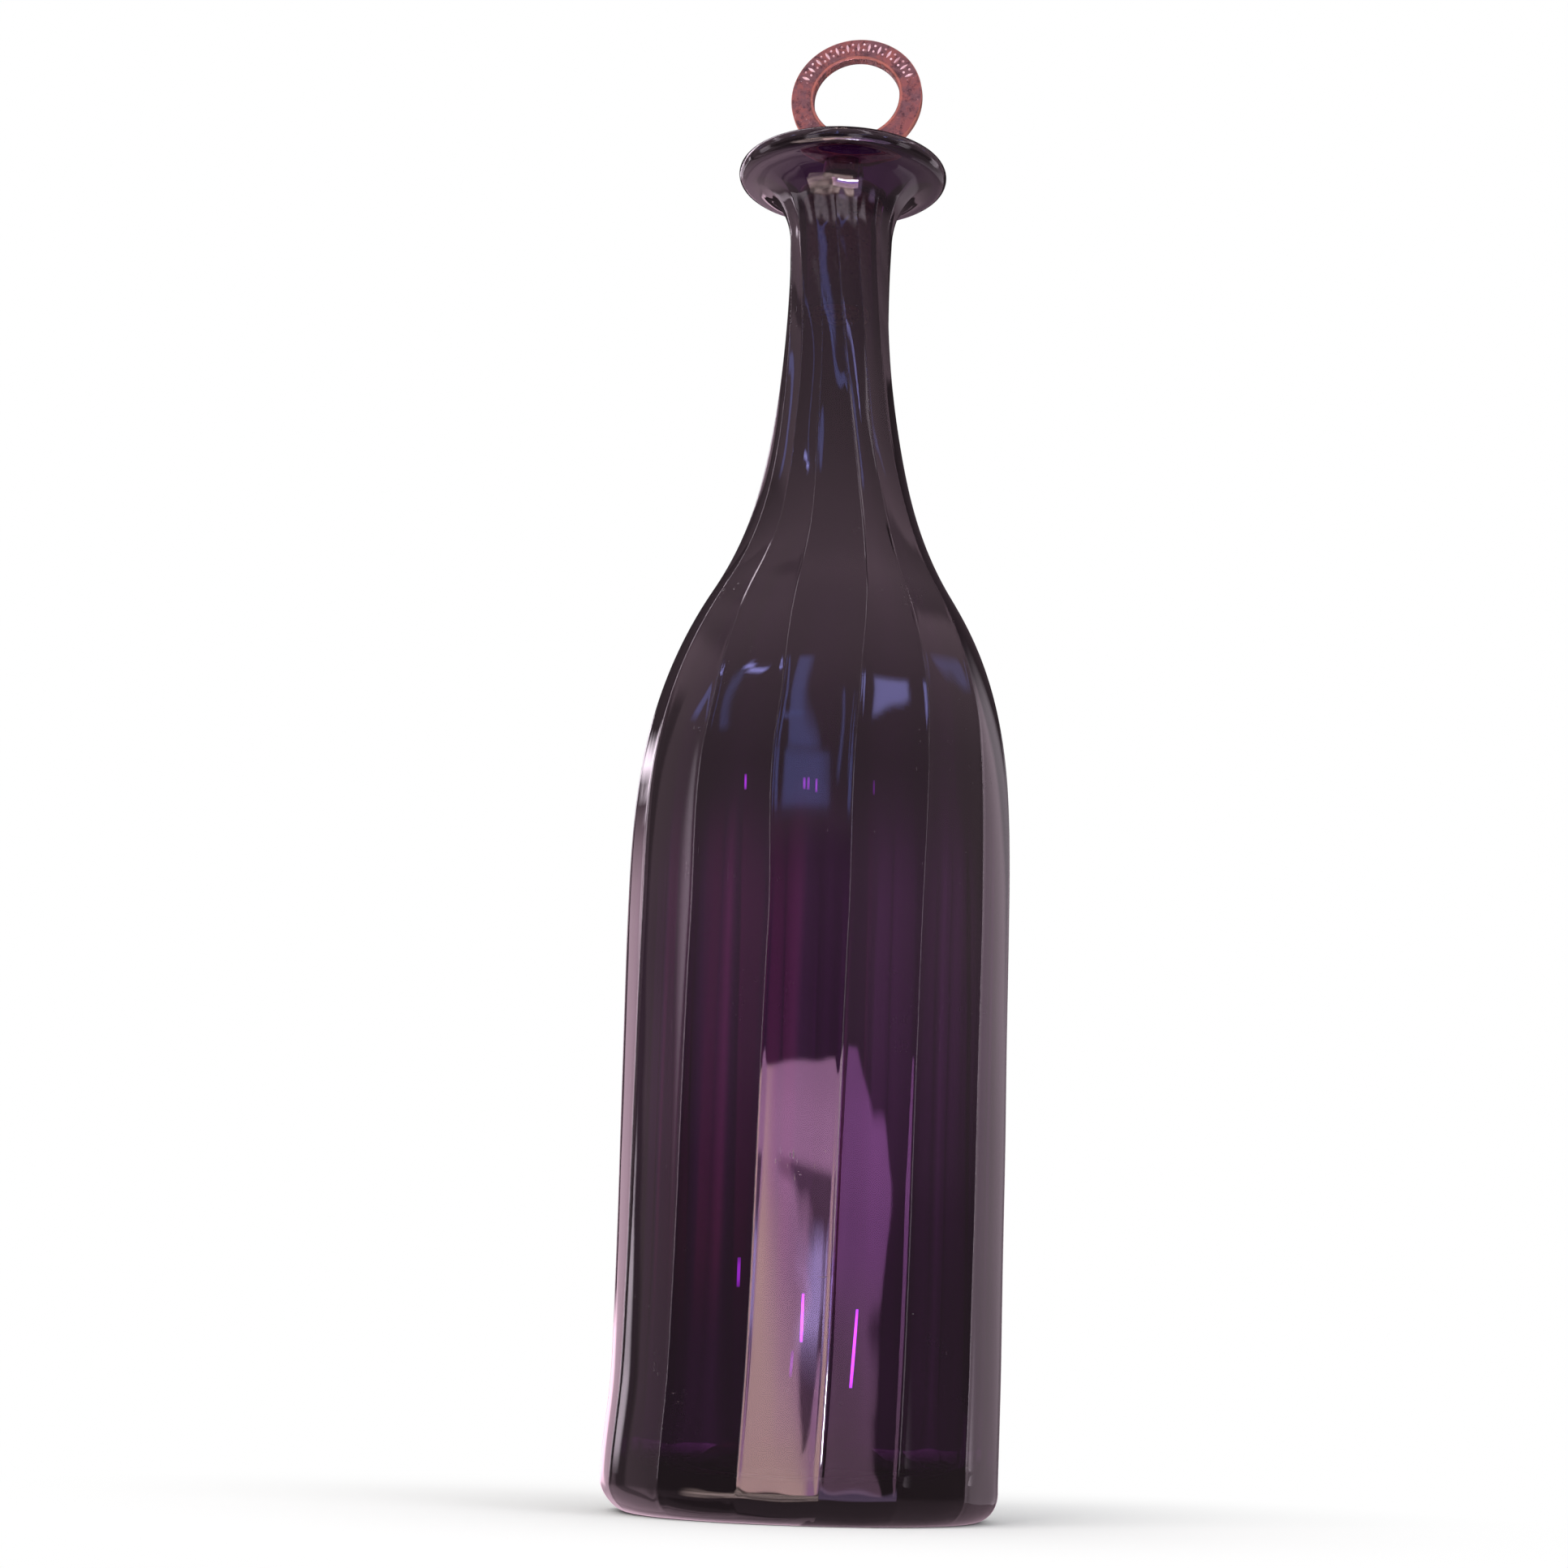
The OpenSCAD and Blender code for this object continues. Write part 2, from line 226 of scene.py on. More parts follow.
def body_share(z):
    """How wide the glass is at height z, from 0 at the slim neck to 1 at the body."""
    return (along(OUTLINE, z) - OUTLINE[5][1]) / (OUTLINE[2][1] - OUTLINE[5][1])


def flute_depth(z):
    return NECK_FLUTE + (BODY_FLUTE - NECK_FLUTE) * body_share(z)


def inside_r(z):
    wall = NECK_WALL + (WALL - NECK_WALL) * body_share(z)
    return along(OUTLINE, z) - flute_depth(z) - wall


def base_rings():
    """Rings from the middle of the hollow under the base out to the foot: height, radius."""
    ball_z = KICK_H - KICK_BALL_R
    radii = np.concatenate(
        [np.linspace(0.8 * MM, PONTIL_R, 12), np.linspace(PONTIL_R, KICK_R, 20)[1:]]
    )
    heights = ball_z + np.sqrt(KICK_BALL_R**2 - radii**2)
    scar = KICK_H - PONTIL_T - PONTIL_RIM * smooth_step(0.6, 1, radii / PONTIL_R)
    heights = np.where(radii < PONTIL_R, scar, heights)
    foot_r = OUTLINE[0][1] - HEEL_ROUND
    rings = list(zip(heights, radii))
    rings += [(0, r) for r in np.linspace(KICK_R + 1.5 * MM, foot_r, 8)]
    return rings


def outer_rings():
    """Rings up the outside, from the heel to the crown: height, radius, flute depth, softness."""
    rings = []
    heel_middle = OUTLINE[0][1] - HEEL_ROUND
    for a in np.linspace(0, 90, 13)[1:]:
        z = HEEL_ROUND * (1 - cos_d(a))
        fade = smooth_step(0.1, 1, a / 90)
        r = heel_middle + HEEL_ROUND * sin_d(a)
        rings.append((z, r, flute_depth(HEEL_ROUND) * fade, 0.3))
    for low, high, count in zip(OUTLINE, OUTLINE[1:], OUTLINE_RINGS):
        for z in np.linspace(low[0], high[0], count + 1)[1:]:
            soft = 0.1 + 0.04 * smooth_step(170 * MM, 250 * MM, z)
            rings.append((z, float(along(OUTLINE, z)), float(flute_depth(z)), float(soft)))
    edge_z = BOTTLE_H - LIP_EDGE_R
    edge_r = LIP_R - LIP_EDGE_R
    end_r = edge_r + LIP_EDGE_R * sin_d(FLARE_MEET)
    end_z = edge_z - LIP_EDGE_R * cos_d(FLARE_MEET)
    start_r = OUTLINE[-1][1]
    for a in np.linspace(0, 90, 25)[1:]:
        z = FLARE_Z + (end_z - FLARE_Z) * sin_d(a)
        r = end_r - (end_r - start_r) * cos_d(a)
        rings.append((z, r, NECK_FLUTE * (1 - 0.8 * a / 90), 0.4))
    for a in np.linspace(FLARE_MEET, 180, 25)[1:]:
        fade = 0.2 * (1 - smooth_step(FLARE_MEET, 60, a))
        z = edge_z - LIP_EDGE_R * cos_d(a)
        rings.append((z, edge_r + LIP_EDGE_R * sin_d(a), NECK_FLUTE * fade, 0.4))
    return rings


def inner_rings():
    """Rings down the inside, from the crown to the middle of the floor: height, radius."""
    end_r = LIP_R - LIP_EDGE_R - LIP_CROWN
    ellipse_r = (end_r - BORE_R * cos_d(MOUTH_SWEEP)) / (1 - cos_d(MOUTH_SWEEP))
    rise = (BOTTLE_H - MOUTH_Z) / sin_d(MOUTH_SWEEP)
    rings = [
        (MOUTH_Z + rise * sin_d(a), ellipse_r - (ellipse_r - BORE_R) * cos_d(a))
        for a in np.linspace(MOUTH_SWEEP, 0, 24)
    ]
    rings += [(z, BORE_R) for z in np.linspace(MOUTH_Z, BORE_BOTTOM, 10)[1:]]
    corner_z = BASE_T + FLOOR_ROUND
    for z in np.linspace(BORE_BOTTOM, corner_z, 96)[1:]:
        rings.append((z, max(float(inside_r(z)), BORE_R)))
    side_r = rings[-1][1]
    for a in np.linspace(90, 0, 9)[1:]:
        rings.append((corner_z - FLOOR_ROUND * cos_d(a), side_r - FLOOR_ROUND * (1 - sin_d(a))))
    floor_r = KICK_BALL_R + BASE_T
    sweep = math.degrees(math.acos((BASE_T - KICK_H + KICK_BALL_R) / floor_r))
    for a in np.linspace(sweep, 1.5, 20):
        rings.append((KICK_H - KICK_BALL_R + floor_r * cos_d(a), floor_r * sin_d(a)))
    return rings


def stray_of(ridges, number, share):
    """Stray angle of each point round a ring, between the strays of the ridges beside it."""
    strays = np.array([ridges.get(k % FLUTES, 0) for k in range(FLUTES + 1)])
    return strays[number] * (1 - share) + strays[number + 1] * share


def flute_places():
    """For each point round a ring: its angle, stray angles, place across its flute, and depth."""
    t = np.arange(FLUTE_POINTS) / FLUTE_POINTS * 2 - 1
    across = (3 * t - t**3) / 2
    number = np.repeat(np.arange(FLUTES), FLUTE_POINTS)
    across = np.tile(across, FLUTES)
    pitch = 360 / FLUTES
    off = RIDGE_UNEVEN * np.sin(2.4 * np.arange(FLUTES + 1) % (2.4 * FLUTES) + 0.6)
    share = (across + 1) / 2
    angle = pitch * (number + share) + off[number] * (1 - share) + off[number + 1] * share
    strays = stray_of(BODY_STRAY, number, share), stray_of(SHOULDER_STRAY, number, share)
    deep = 1 + DEPTH_UNEVEN * np.sin(1.9 * number + 0.4)
    return angle, strays, across, deep


def glass_points():
    """Vertices of the whole glass, ring by ring, from under the base to the floor inside."""
    angle0, strays, across, deep = flute_places()
    rows = []
    for z, r in base_rings():
        a = angle0 + along(TURNS, 0) - 90
        x, y = r * cos_d(a), r * sin_d(a)
        rough = PONTIL_ROUGH * ripple(x, y, 0, 0.9 * MM, 4) * float(r < PONTIL_R)
        rows.append((x, y, z + rough))
    for z, r, depth, soft in outer_rings():
        stray = strays[0] * (1 - smooth_step(*BODY_STRAY_GOES, z))
        shoulder = smooth_step(*SHOULDER_STRAY_COMES, z) * (1 - smooth_step(*SHOULDER_STRAY_GOES, z))
        stray = stray + strays[1] * shoulder
        a = angle0 + stray + along(TURNS, z) - 90
        from_ridge = 1 - np.abs(across)
        eased = (np.sqrt(from_ridge**2 + soft**2) - soft) / (math.sqrt(1 + soft**2) - soft)
        share = np.clip(body_share(z), 0, 1)
        rib_h = NECK_RIB[0] + (BODY_RIB[0] - NECK_RIB[0]) * share
        rib_w = NECK_RIB[1] + (BODY_RIB[1] - NECK_RIB[1]) * share
        from_crest = from_ridge * math.pi * r / FLUTES
        rib = rib_h * min(depth / NECK_FLUTE, 1) * np.exp(-((from_crest / rib_w) ** 2))
        radius = r - depth * deep * (1 - (1 - eased) ** 2) + rib
        x, y = radius * cos_d(a), radius * sin_d(a)
        loose = smooth_step(3 * MM, 25 * MM, z) * (1 - smooth_step(NECK_Z, FLARE_Z, z))
        radius = radius + WAVE * loose * ripple(x, y, z, WAVE_LENGTH, 1)
        sag = smooth_step(0, 7 * MM, z) * (1 - smooth_step(8 * MM, 30 * MM, z))
        radius = radius + HEEL_SAG * sag * np.clip(-cos_d(a), 0, 1) ** 2
        x = radius * cos_d(a) + along(DRIFT, z)
        rows.append((x, radius * sin_d(a), z + 0 * a))
    for z, r in inner_rings():
        a = angle0 + along(TURNS, z) - 90
        under_bore = 1 - smooth_step(BORE_BOTTOM - 20 * MM, BORE_BOTTOM, z)
        loose = smooth_step(10 * MM, 25 * MM, z) * under_bore
        turn = np.radians(a)
        swell = np.cos(np.pi * across) * 0.6 + 0.15 * np.sin(turn * 37 + 3 * np.sin(turn * 5))
        radius = r + INNER_RIPPLE * loose * swell
        x = radius * cos_d(a) + along(DRIFT, z) * loose
        rows.append((x, radius * sin_d(a), z + 0 * a))
    return np.array(rows).transpose(0, 2, 1)


def make_mesh(name, points, faces, smooth=True):
    mesh = bpy.data.meshes.new(name)
    mesh.from_pydata([tuple(p) for p in points], [], faces)
    mesh.validate()
    mesh.update()
    if smooth:
        mesh.shade_smooth()
    piece = bpy.data.objects.new(name, mesh)
    bpy.context.scene.collection.objects.link(piece)
    return piece


def grid_faces(rows, columns, closed_rows=False):
    """Quads between rows of points that each run round in a circle."""
    faces = []
    for i in range(rows if closed_rows else rows - 1):
        above = (i + 1) % rows
        for j in range(columns):
            beside = (j + 1) % columns
            near, far = i * columns, above * columns
            faces.append((near + j, near + beside, far + beside, far + j))
    return faces


def make_glass():
    rows = glass_points()
    count, columns = rows.shape[:2]
    points = [tuple(p) for p in rows.reshape(-1, 3)]
    faces = grid_faces(count, columns)
    under, floor = len(points), len(points) + 1
    points.append(tuple(rows[0].mean(0)))
    points.append(tuple(rows[-1].mean(0)))
    last = (count - 1) * columns
    for j in range(columns):
        beside = (j + 1) % columns
        faces.append((under, beside, j))
        faces.append((floor, last + j, last + beside))
    glass = make_mesh("amethyst_glass_bottle", points, faces)
    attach(glass, "bottle")
    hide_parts("glass_bottle")
    return glass


# ---------------------------------------------------------------- ring


def ornament_depth(angle, radius):
    """Depth of the bright-cut border, 0 to 1: leaf-shaped cuts, and two dots between each pair."""
    middle = (RING_HOLE_R + BEAD_W + RING_R) / 2 + ORNAMENT_SHIFT
    shown = np.abs(((angle - 90 + 180) % 360) - 180) < ORNAMENT_REACH
    place = (angle - 90) / ORNAMENT_PITCH
    leaf = (place - np.round(place)) * ORNAMENT_PITCH
    dot = (place - 0.5 - np.round(place - 0.5)) * ORNAMENT_PITCH
    leaf_x = np.radians(leaf) * radius
    dot_x = np.radians(dot) * radius
    up = radius - middle
    leaf_shape = 1 - (up / LEAF_H) ** 2 - np.abs(leaf_x) / LEAF_W
    high_dot = 1 - (dot_x**2 + (up - DOT_OFF) ** 2) / DOT_R**2
    low_dot = 1 - (dot_x**2 + (up + DOT_OFF) ** 2) / DOT_R**2
    cut = np.clip(np.maximum(np.maximum(leaf_shape, high_dot), low_dot), 0, 1)
    return cut * shown


def ring_section():
    """Half outline of the ring's section, from the hole out: radius, height over the middle."""
    half = RING_T / 2
    line = [(RING_HOLE_R, 0), (RING_HOLE_R, half + BEAD_H - BEAD_EASE)]
    for a in np.linspace(0, 180, 9):
        line.append((RING_HOLE_R + BEAD_W / 2 - BEAD_W / 2 * cos_d(a), half + BEAD_H * sin_d(a)))
    for r in np.linspace(RING_HOLE_R + BEAD_W, RING_R - RING_EDGE_ROUND, 30)[1:]:
        line.append((r, half))
    for a in np.linspace(0, 90, 6)[1:]:
        r = RING_R - RING_EDGE_ROUND * (1 - sin_d(a))
        line.append((r, half - RING_EDGE_ROUND * (1 - cos_d(a))))
    return line


def make_ring():
    upper = ring_section()
    lower = [(r, -h) for r, h in reversed(upper[1:])]
    section = np.array(upper + [(RING_R, 0)] + lower)
    angle = np.arange(RING_STEPS) * 360 / RING_STEPS
    r = section[:, 0][:, None] + 0 * angle
    h = section[:, 1][:, None] + 0 * angle
    face = (r > RING_HOLE_R + BEAD_W + FACE_MARGIN) & (r < RING_R - RING_EDGE_ROUND - FACE_MARGIN)
    cut = ornament_depth(angle, r) * face
    # Years of handling have left the faces a little uneven
    wear = RING_WEAR * (1 + ripple(r * cos_d(angle), r * sin_d(angle), h, 1.6 * MM, 2))
    h = h - np.sign(h) * (ORNAMENT_DEPTH * cut + wear * face)
    across = RING_SHIFT + r * cos_d(angle)
    up = RING_R + r * sin_d(angle)
    back = up * sin_d(RING_LEAN) - h * cos_d(RING_LEAN)
    points = np.stack(
        [
            across * cos_d(RING_TURN) + back * sin_d(RING_TURN),
            -across * sin_d(RING_TURN) + back * cos_d(RING_TURN),
            RING_BOTTOM + up * cos_d(RING_LEAN) + h * sin_d(RING_LEAN),
        ],
        axis=-1,
    )
    faces = grid_faces(len(section), RING_STEPS, closed_rows=True)
    ring = make_mesh("copper_ring", points.reshape(-1, 3), [f[::-1] for f in faces])
    # Marks that the material reads: the floors of the cuts, and the rubbed bead and rim
    bead = np.exp(-(((r - RING_HOLE_R - BEAD_W / 2) / RUBBED_W) ** 2))
    rim = RUBBED * (bead + smooth_step(RING_R - RING_EDGE_ROUND, RING_R, r))
    for name, values in (("cut", cut), ("rim", rim)):
        ring.data.attributes.new(name, "FLOAT", "POINT").data.foreach_set("value", values.ravel())
    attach(ring, "ring_pull")
    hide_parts("ring_handle")
    return ring


# ---------------------------------------------------------------- materials


class Nodes:
    """A material's node tree, with short calls for the nodes used here."""

    def __init__(self, name):
        self.material = bpy.data.materials.new(name)
        self.material.use_nodes = True
        self.tree = self.material.node_tree
        self.tree.nodes.clear()
        self.output = self.add("ShaderNodeOutputMaterial")

    def add(self, kind, **settings):
        node = self.tree.nodes.new(kind)
        for key, value in settings.items():
            setattr(node, key, value)
        return node

    def join(self, source, target):
        self.tree.links.new(source, target)

    def place(self):
        return self.add("ShaderNodeTexCoord").outputs["Object"]

    def mark(self, name):
        return self.add("ShaderNodeAttribute", attribute_name=name).outputs["Fac"]

    def stretched(self, source, scale):
        node = self.add("ShaderNodeVectorMath", operation="MULTIPLY")
        node.inputs[1].default_value = scale
        self.join(source, node.inputs[0])
        return node.outputs[0]

    def noise(self, where, scale, detail=4.0, rough=0.55, distortion=0.0):
        node = self.add("ShaderNodeTexNoise")
        node.inputs["Scale"].default_value = scale
        node.inputs["Detail"].default_value = detail
        node.inputs["Roughness"].default_value = rough
        node.inputs["Distortion"].default_value = distortion
        self.join(where, node.inputs["Vector"])
        return node.outputs["Fac"]

    def cells(self, where, scale):
        node = self.add("ShaderNodeTexVoronoi", feature="F1")
        node.inputs["Scale"].default_value = scale
        self.join(where, node.inputs["Vector"])
        return node.outputs["Distance"]

    def spread(self, value, low, high, to_low=0.0, to_high=1.0):
        node = self.add("ShaderNodeMapRange", interpolation_type="SMOOTHSTEP")
        node.inputs["From Min"].default_value = low
        node.inputs["From Max"].default_value = high
        node.inputs["To Min"].default_value = to_low
        node.inputs["To Max"].default_value = to_high
        self.join(value, node.inputs["Value"])
        return node.outputs["Result"]

    def maths(self, operation, a, b):
        node = self.add("ShaderNodeMath", operation=operation)
        for socket, value in zip(node.inputs, (a, b)):
            if isinstance(value, (int, float)):
                socket.default_value = value
            else:
                self.join(value, socket)
        return node.outputs[0]

    def mix(self, share, a, b):
        node = self.add("ShaderNodeMix", data_type="RGBA")
        sockets = [s for s in node.inputs if s.type == "RGBA"]
        for socket, value in zip([node.inputs[0], *sockets], (share, a, b)):
            if isinstance(value, (int, float)):
                socket.default_value = value
            elif isinstance(value, tuple):
                socket.default_value = (*value, 1)
            else:
                self.join(value, socket)
        return [s for s in node.outputs if s.type == "RGBA"][0]

    def bump(self, height, strength, distance):
        node = self.add("ShaderNodeBump")
        node.inputs["Strength"].default_value = strength
        node.inputs["Distance"].default_value = distance
        self.join(height, node.inputs["Height"])
        return node.outputs["Normal"]

    def principled(self, **values):
        node = self.add("ShaderNodeBsdfPrincipled")
        for key, value in values.items():
            socket = node.inputs[key.replace("_", " ")]
            if isinstance(value, tuple):
                socket.default_value = (*value, 1)
            elif isinstance(value, (int, float)):
                socket.default_value = value
            else:
                self.join(value, socket)
        self.join(node.outputs[0], self.output.inputs["Surface"])


def height_of(nodes, where):
    split = nodes.add("ShaderNodeSeparateXYZ")
    nodes.join(where, split.inputs[0])
    return split.outputs["Z"]


# The glass: its index of refraction, what its volume lets through, and how strongly it absorbs
GLASS_IOR = 1.5
AMETHYST = (0.4, 0.05, 0.42, 1)
AMETHYST_DENSITY = 900

# Colours of the metals. The floors of the ring's cuts are painted in pale metal, a painted highlight
# for the glints of the bright-cut.
CUT_GLINT_COLOURS = ((0.5, 0.35, 0.33), (0.85, 0.72, 0.68))
BRASS_COLOURS = ((0.62, 0.46, 0.20), (0.33, 0.22, 0.11))
RING_COPPER = {
    "clean": (0.31, 0.137, 0.11),
    "dull": (0.2, 0.12, 0.115),
    "dark": (0.1, 0.06, 0.06),
    "worn_colour": (0.44, 0.29, 0.25),
    "edge_colour": (0.72, 0.3, 0.18),
}
# Painted shade: the fittings down in the mouth get far darker copper than the ring, so that they
# stay dark inside the lip
SHADED_FITTING_COPPER = {
    "clean": (0.13, 0.06, 0.045),
    "dull": (0.08, 0.045, 0.04),
    "dark": (0.03, 0.02, 0.018),
    "worn_colour": (0.2, 0.11, 0.08),
    "edge_colour": (0.26, 0.13, 0.09),
}

# Colours of the cork, and the heights between which the painted shade on its lower end fades out
CORK_COLOURS = ((0.40, 0.22, 0.105), (0.60, 0.38, 0.20))
CORK_PATCH = (0.27, 0.13, 0.07)
CORK_PORE = (0.10, 0.045, 0.025)
CORK_SHADE = (0.05, 0.02, 0.03)
CORK_SHADE_Z = (267 * MM, 282 * MM)


def glass_material():
    nodes = Nodes("amethyst_glass")
    where = nodes.place()
    # Scuffs round the foot, where the bottle has stood and slid
    low = nodes.spread(height_of(nodes, where), 1 * MM, 9 * MM, 1, 0)
    scuffs = nodes.spread(nodes.noise(where, 700, 5, 0.65), 0.56, 0.7)
    scuffed = nodes.maths("MULTIPLY", nodes.maths("MULTIPLY", low, scuffs), 0.3)
    # Short fine scratches, upright and level, in a few places on the body
    upright = nodes.noise(nodes.stretched(where, (1, 1, 0.12)), 2600, 1)
    upright = nodes.spread(upright, 0.72, 0.78)
    level = nodes.noise(nodes.stretched(where, (0.15, 0.15, 1)), 2400, 1)
    level = nodes.spread(level, 0.74, 0.8)
    sparse = nodes.spread(nodes.noise(where, 60, 2), 0.62, 0.7)
    scratched = nodes.maths("MULTIPLY", nodes.maths("MAXIMUM", upright, level), sparse)
    rough = nodes.spread(nodes.maths("MAXIMUM", scuffed, scratched), 0, 1, 0.0, 0.5)
    # Drawn lines in the hot glass gently bend what it reflects
    drawn = nodes.noise(nodes.stretched(where, (1, 1, 0.05)), 150, 1)
    soft = nodes.noise(where, 38, 1)
    waves = nodes.maths("ADD", nodes.maths("MULTIPLY", drawn, 0.25), soft)
    waves = nodes.maths("SUBTRACT", waves, nodes.maths("MULTIPLY", scratched, 0.1))
    nodes.principled(
        Base_Color=(0.97, 0.96, 0.98),
        Roughness=rough,
        IOR=GLASS_IOR,
        Transmission_Weight=1.0,
        Normal=nodes.bump(waves, 0.1, 1 * MM),
    )
    volume = nodes.add("ShaderNodeVolumeAbsorption")
    volume.inputs["Color"].default_value = AMETHYST
    volume.inputs["Density"].default_value = AMETHYST_DENSITY
    nodes.join(volume.outputs[0], nodes.output.inputs["Volume"])
    return nodes.material


def copper_material(name, clean, dull, dark, worn_colour, edge_colour, rims_marked):
    """Hand-worn copper: clean and dull patches, dark spots, rubbed places and bright edges."""
    nodes = Nodes(name)
    where = nodes.place()
    broad = nodes.noise(where, 190, 5, 0.7)
    spots = nodes.noise(where, 560, 6, 0.75)
    body = nodes.mix(nodes.spread(broad, 0.42, 0.57), clean, dull)
    body = nodes.mix(nodes.spread(spots, 0.48, 0.64), body, dark)
    worn = nodes.spread(nodes.noise(where, 520, 5, 0.7, 0.4), 0.6, 0.72)
    body = nodes.mix(worn, body, worn_colour)
    # Painted highlight: the floors of the ring's cuts are painted pale and patchy, as glints of the
    # bright-cut, brighter than its worn face
    cut_glint_share = nodes.spread(nodes.noise(where, 620, 3), 0.4, 0.6)
    in_cut = nodes.spread(nodes.mark("cut"), 0.1, 0.45)
    body = nodes.mix(in_cut, body, nodes.mix(cut_glint_share, *CUT_GLINT_COLOURS))
    # The ring's fine mesh carries marks for its rims, since Pointiness draws false lines on it
    if rims_marked:
        rubbed = nodes.mark("rim")
    else:
        rubbed = nodes.spread(nodes.add("ShaderNodeNewGeometry").outputs["Pointiness"], 0.6, 0.7)
    body = nodes.mix(rubbed, body, edge_colour)
    fine = nodes.noise(where, 3600, 3, 0.6)
    pits = nodes.spread(spots, 0.58, 0.75)
    height = nodes.maths("SUBTRACT", nodes.maths("MULTIPLY", fine, 0.3), pits)
    nodes.principled(
        Base_Color=body,
        Metallic=1.0,
        Roughness=nodes.spread(broad, 0.3, 0.7, 0.3, 0.52),
        Normal=nodes.bump(height, 0.45, 0.08 * MM),
    )
    return nodes.material


def brass_material():
    nodes = Nodes("dull_brass")
    where = nodes.place()
    broad = nodes.noise(where, 420, 5, 0.6)
    body = nodes.mix(nodes.spread(broad, 0.4, 0.65), *BRASS_COLOURS)
    turned = nodes.noise(nodes.stretched(where, (0.2, 0.2, 6)), 900, 3)
    nodes.principled(
        Base_Color=body,
        Metallic=1.0,
        Roughness=nodes.spread(broad, 0.3, 0.7, 0.28, 0.5),
        Normal=nodes.bump(turned, 0.25, 0.05 * MM),
    )
    return nodes.material


def cork_material():
    nodes = Nodes("natural_cork")
    where = nodes.place()
    grain = nodes.noise(where, 900, 6, 0.7)
    broad = nodes.noise(nodes.stretched(where, (1, 1, 0.5)), 160, 4)
    body = nodes.mix(nodes.spread(grain, 0.35, 0.65), *CORK_COLOURS)
    body = nodes.mix(nodes.spread(broad, 0.55, 0.7), body, CORK_PATCH)
    # Lenticels: dark, ragged pores that run across the cork
    pores = nodes.cells(nodes.stretched(where, (1, 1, 2.6)), 330)
    ragged = nodes.maths("ADD", pores, nodes.maths("MULTIPLY", grain, 0.25))
    open_pore = nodes.spread(ragged, 0.24, 0.31, 1, 0)
    body = nodes.mix(open_pore, body, CORK_PORE)
    # Painted shade: the part of the cork inside the neck is painted near black, so that it stays
    # dark behind the glass
    painted_shade = nodes.spread(height_of(nodes, where), *CORK_SHADE_Z, 1, 0)
    body = nodes.mix(nodes.maths("MULTIPLY", painted_shade, 0.9), body, CORK_SHADE)
    height = nodes.maths("SUBTRACT", nodes.maths("MULTIPLY", grain, 0.4), open_pore)
    nodes.principled(
        Base_Color=body,
        Roughness=0.82,
        Normal=nodes.bump(height, 0.6, 0.35 * MM),
    )
    return nodes.material


# ---------------------------------------------------------------- stage


def light_paths(nodes):
    """1 for rays of the camera, of a reflection and of a refraction, and 0 for the rest."""
    paths = nodes.add("ShaderNodeLightPath")
    seen = nodes.maths("MAXIMUM", paths.outputs["Is Camera Ray"], paths.outputs["Is Glossy Ray"])
    return nodes.maths("MAXIMUM", seen, paths.outputs["Is Transmission Ray"])


class WorldNodes(Nodes):
    def __init__(self):
        world = bpy.data.worlds.new("white_room")
        world.use_nodes = True
        bpy.context.scene.world = world
        self.tree = world.node_tree
        self.tree.nodes.clear()
        self.output = self.add("ShaderNodeOutputWorld")


def make_world():
    nodes = WorldNodes()
    back = nodes.add("ShaderNodeBackground")
    back.inputs["Color"].default_value = (1, 1, 1, 1)
    seen = light_paths(nodes)
    nodes.join(nodes.spread(seen, 0, 1, 0.75, 1.0), back.inputs["Strength"])
    nodes.join(back.outputs[0], nodes.output.inputs["Surface"])


def make_floor():
    """A pale floor that keeps the bottle's shadow and runs out to plain white."""
    radii = (0.1, 0.3, 1, 3, 9)
    steps = 48
    turns = [2 * math.pi * k / steps for k in range(steps)]
    points = [(r * math.cos(turn), r * math.sin(turn), 0) for r in radii for turn in turns]
    faces = grid_faces(len(radii), steps)
    points.append((0, 0, 0))
    faces += [(len(points) - 1, (k + 1) % steps, k)[::-1] for k in range(steps)]
    floor = make_mesh("floor", points, faces, smooth=False)
    nodes = Nodes("pale_floor")
    reach = nodes.add("ShaderNodeVectorMath", operation="LENGTH")
    nodes.join(nodes.place(), reach.inputs[0])
    far = nodes.spread(reach.outputs["Value"], 0.045, 0.2)
    diffuse = nodes.add("ShaderNodeBsdfDiffuse")
    diffuse.inputs["Color"].default_value = (0.95, 0.95, 0.95, 1)
    glow = nodes.add("ShaderNodeEmission")
    glow.inputs["Color"].default_value = (1, 1, 1, 1)
    both = nodes.add("ShaderNodeMixShader")
    nodes.join(nodes.maths("MULTIPLY", far, light_paths(nodes)), both.inputs[0])
    nodes.join(diffuse.outputs[0], both.inputs[1])
    nodes.join(glow.outputs[0], both.inputs[2])
    nodes.join(both.outputs[0], nodes.output.inputs["Surface"])
    floor.data.materials.append(nodes.material)
    floor.visible_glossy = False


def compass(azimuth, distance, z):
    """A point round the bottle: azimuth 0 is in front, 90 to the right."""
    return (distance * sin_d(azimuth), -distance * cos_d(azimuth), z)


def card_points(azimuth, distance, z):
    """Points of a card that stands round the bottle, from grids of azimuth and height."""
    return np.stack(np.broadcast_arrays(*compass(azimuth, distance, z)), axis=-1)


def soft_box(value, low, high, edge):
    """1 between low and high, 0 outside, with a soft edge."""
    inside = smooth_step(low - edge, low + edge, value)
    return inside * (1 - smooth_step(high - edge, high + edge, value))


